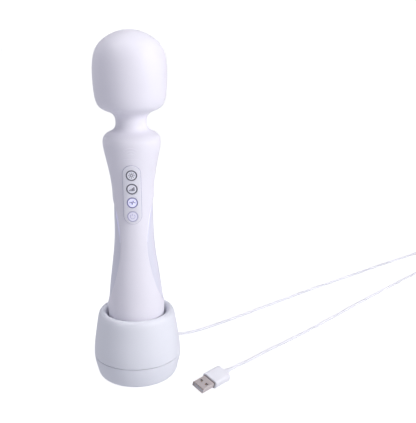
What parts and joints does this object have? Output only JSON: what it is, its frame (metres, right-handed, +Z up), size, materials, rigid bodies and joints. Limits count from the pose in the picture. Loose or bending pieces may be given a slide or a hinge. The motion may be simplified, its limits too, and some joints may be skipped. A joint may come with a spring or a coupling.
{
  "type": "handheld wand massager",
  "caption": "Cordless wand massager with a domed head on a flexible neck and a waisted handle with a push-button keypad, standing in a round charging dock with a USB lead.",
  "frame": {"origin": "centre of the dock's footprint, on the surface it stands on", "axes": "+Z up along the wand, -Y towards the face with the buttons, +X to the right of a person facing the buttons"},
  "size_m": [0.4265, 0.3524, 0.2881],
  "materials": {
    "black_plastic": "moulded black",
    "board": "green solder mask",
    "bronze": "sintered bronze",
    "button_plastic": "matte with printed ring and symbol",
    "copper": "enamelled windings on a laminated core",
    "cord_jacket": "soft white jacket",
    "core_rubber": "firm dark elastomer",
    "dock_plastic": "fine matt moulding, pale blue-grey",
    "gold": "gold plated",
    "keypad_plastic": "matte lavender-white",
    "leaf_silicone": "matte lavender-white silicone, slightly cooler",
    "led": "clear epoxy",
    "light_guide": "milky translucent, lit lilac-blue",
    "magnet": "sintered ferrite",
    "plug_metal": "nickel plated sheet",
    "rubber_foot": "soft grey rubber",
    "shell_plastic": "plain moulded ABS",
    "soft_silicone": "matte lavender-white silicone",
    "steel": "plain steel",
    "tongue": "white insulator",
    "wire": "stranded wire insulation",
    "wrap": "shrink wrap",
    "zinc_screw": "zinc plated"
  },
  "bodies": {
    "dock": {"dock_shell": "dock_plastic", "dock_base": "dock_plastic", "dock_screws": "zinc_screw", "foot_ring": "rubber_foot", "ballast_ring": "steel", "charge_board": "board", "left_pin_spring": "steel", "right_pin_spring": "steel", "pin_block": "black_plastic", "dock_wires": "wire", "cord_gland": "cord_jacket", "dock_lead": "cord_jacket", "cord_coil": "cord_jacket", "plug_lead": "cord_jacket", "plug_shell": "plug_metal", "plug_tongue": "tongue", "plug_contacts": "gold", "plug_grip": "cord_jacket"},
    "wand": {"handle_skin": "soft_silicone", "left_leaf_panel": "leaf_silicone", "right_leaf_panel": "leaf_silicone", "left_light_guide": "light_guide", "right_light_guide": "light_guide", "side_leds": "led", "keypad_panel": "keypad_plastic", "tact_switches": "black_plastic", "handle_front_shell": "shell_plastic", "handle_rear_shell": "shell_plastic", "handle_screws": "zinc_screw", "battery_cell": "wrap", "battery_cradle": "black_plastic", "control_board": "board", "handle_wires": "wire", "end_cap": "dock_plastic", "contact_pads": "gold", "lower_neck_clamp": "shell_plastic"},
    "neck": {"neck_core": "core_rubber", "neck_sleeve": "soft_silicone"},
    "head": {"head_skin": "soft_silicone", "head_base_shell": "shell_plastic", "head_dome_shell": "shell_plastic", "upper_neck_clamp": "shell_plastic", "motor_cradle": "black_plastic", "head_screws": "zinc_screw", "motor_can": "steel", "motor_bushes": "bronze", "motor_magnets": "magnet"},
    "rotor": {"motor_shaft": "steel", "motor_armature": "copper", "eccentric_weight": "steel"},
    "left_pin": {"left_charge_pin": "gold"},
    "right_pin": {"right_charge_pin": "gold"},
    "glow_button": {"glow_button": "button_plastic"},
    "level_button": {"level_button": "button_plastic"},
    "pulse_button": {"pulse_button": "button_plastic"},
    "power_button": {"power_button": "button_plastic"}
  },
  "joints": [
    {"name": "wand_lift", "type": "slide", "parent": "dock", "child": "wand", "axis": [0, 0, 1], "range_m": [0, 0.08]},
    {"name": "neck_nod", "type": "hinge", "parent": "wand", "child": "neck", "pos_m": [0, 0, 0.213], "axis": [1, 0, 0], "range_deg": [-12, 12], "stiffness_Nm_per_rad": 6, "deforming": ["neck_sleeve"]},
    {"name": "neck_sway", "type": "hinge", "parent": "neck", "child": "head", "pos_m": [0, 0, 0.223], "axis": [0, 1, 0], "range_deg": [-12, 12], "stiffness_Nm_per_rad": 6, "deforming": ["neck_sleeve"]},
    {"name": "motor_spin", "type": "hinge", "parent": "head", "child": "rotor", "pos_m": [0, 0, 0.25], "axis": [0, 0, 1], "continuous": true},
    {"name": "glow_button_press", "type": "slide", "parent": "wand", "child": "glow_button", "axis": [0, 1, 0], "range_m": [0, 0.0006], "stiffness_N_per_m": 1500},
    {"name": "level_button_press", "type": "slide", "parent": "wand", "child": "level_button", "axis": [0, 1, 0], "range_m": [0, 0.0006], "stiffness_N_per_m": 1500},
    {"name": "pulse_button_press", "type": "slide", "parent": "wand", "child": "pulse_button", "axis": [0, 1, 0], "range_m": [0, 0.0006], "stiffness_N_per_m": 1500},
    {"name": "power_button_press", "type": "slide", "parent": "wand", "child": "power_button", "axis": [0, 1, 0], "range_m": [0, 0.0006], "stiffness_N_per_m": 1500},
    {"name": "left_pin_press", "type": "slide", "parent": "dock", "child": "left_pin", "axis": [0, 0, 1], "range_m": [-0.0008, 0], "stiffness_N_per_m": 300, "deforming": ["left_pin_spring"]},
    {"name": "right_pin_press", "type": "slide", "parent": "dock", "child": "right_pin", "axis": [0, 0, 1], "range_m": [-0.0008, 0], "stiffness_N_per_m": 300, "deforming": ["right_pin_spring"]}
  ]
}
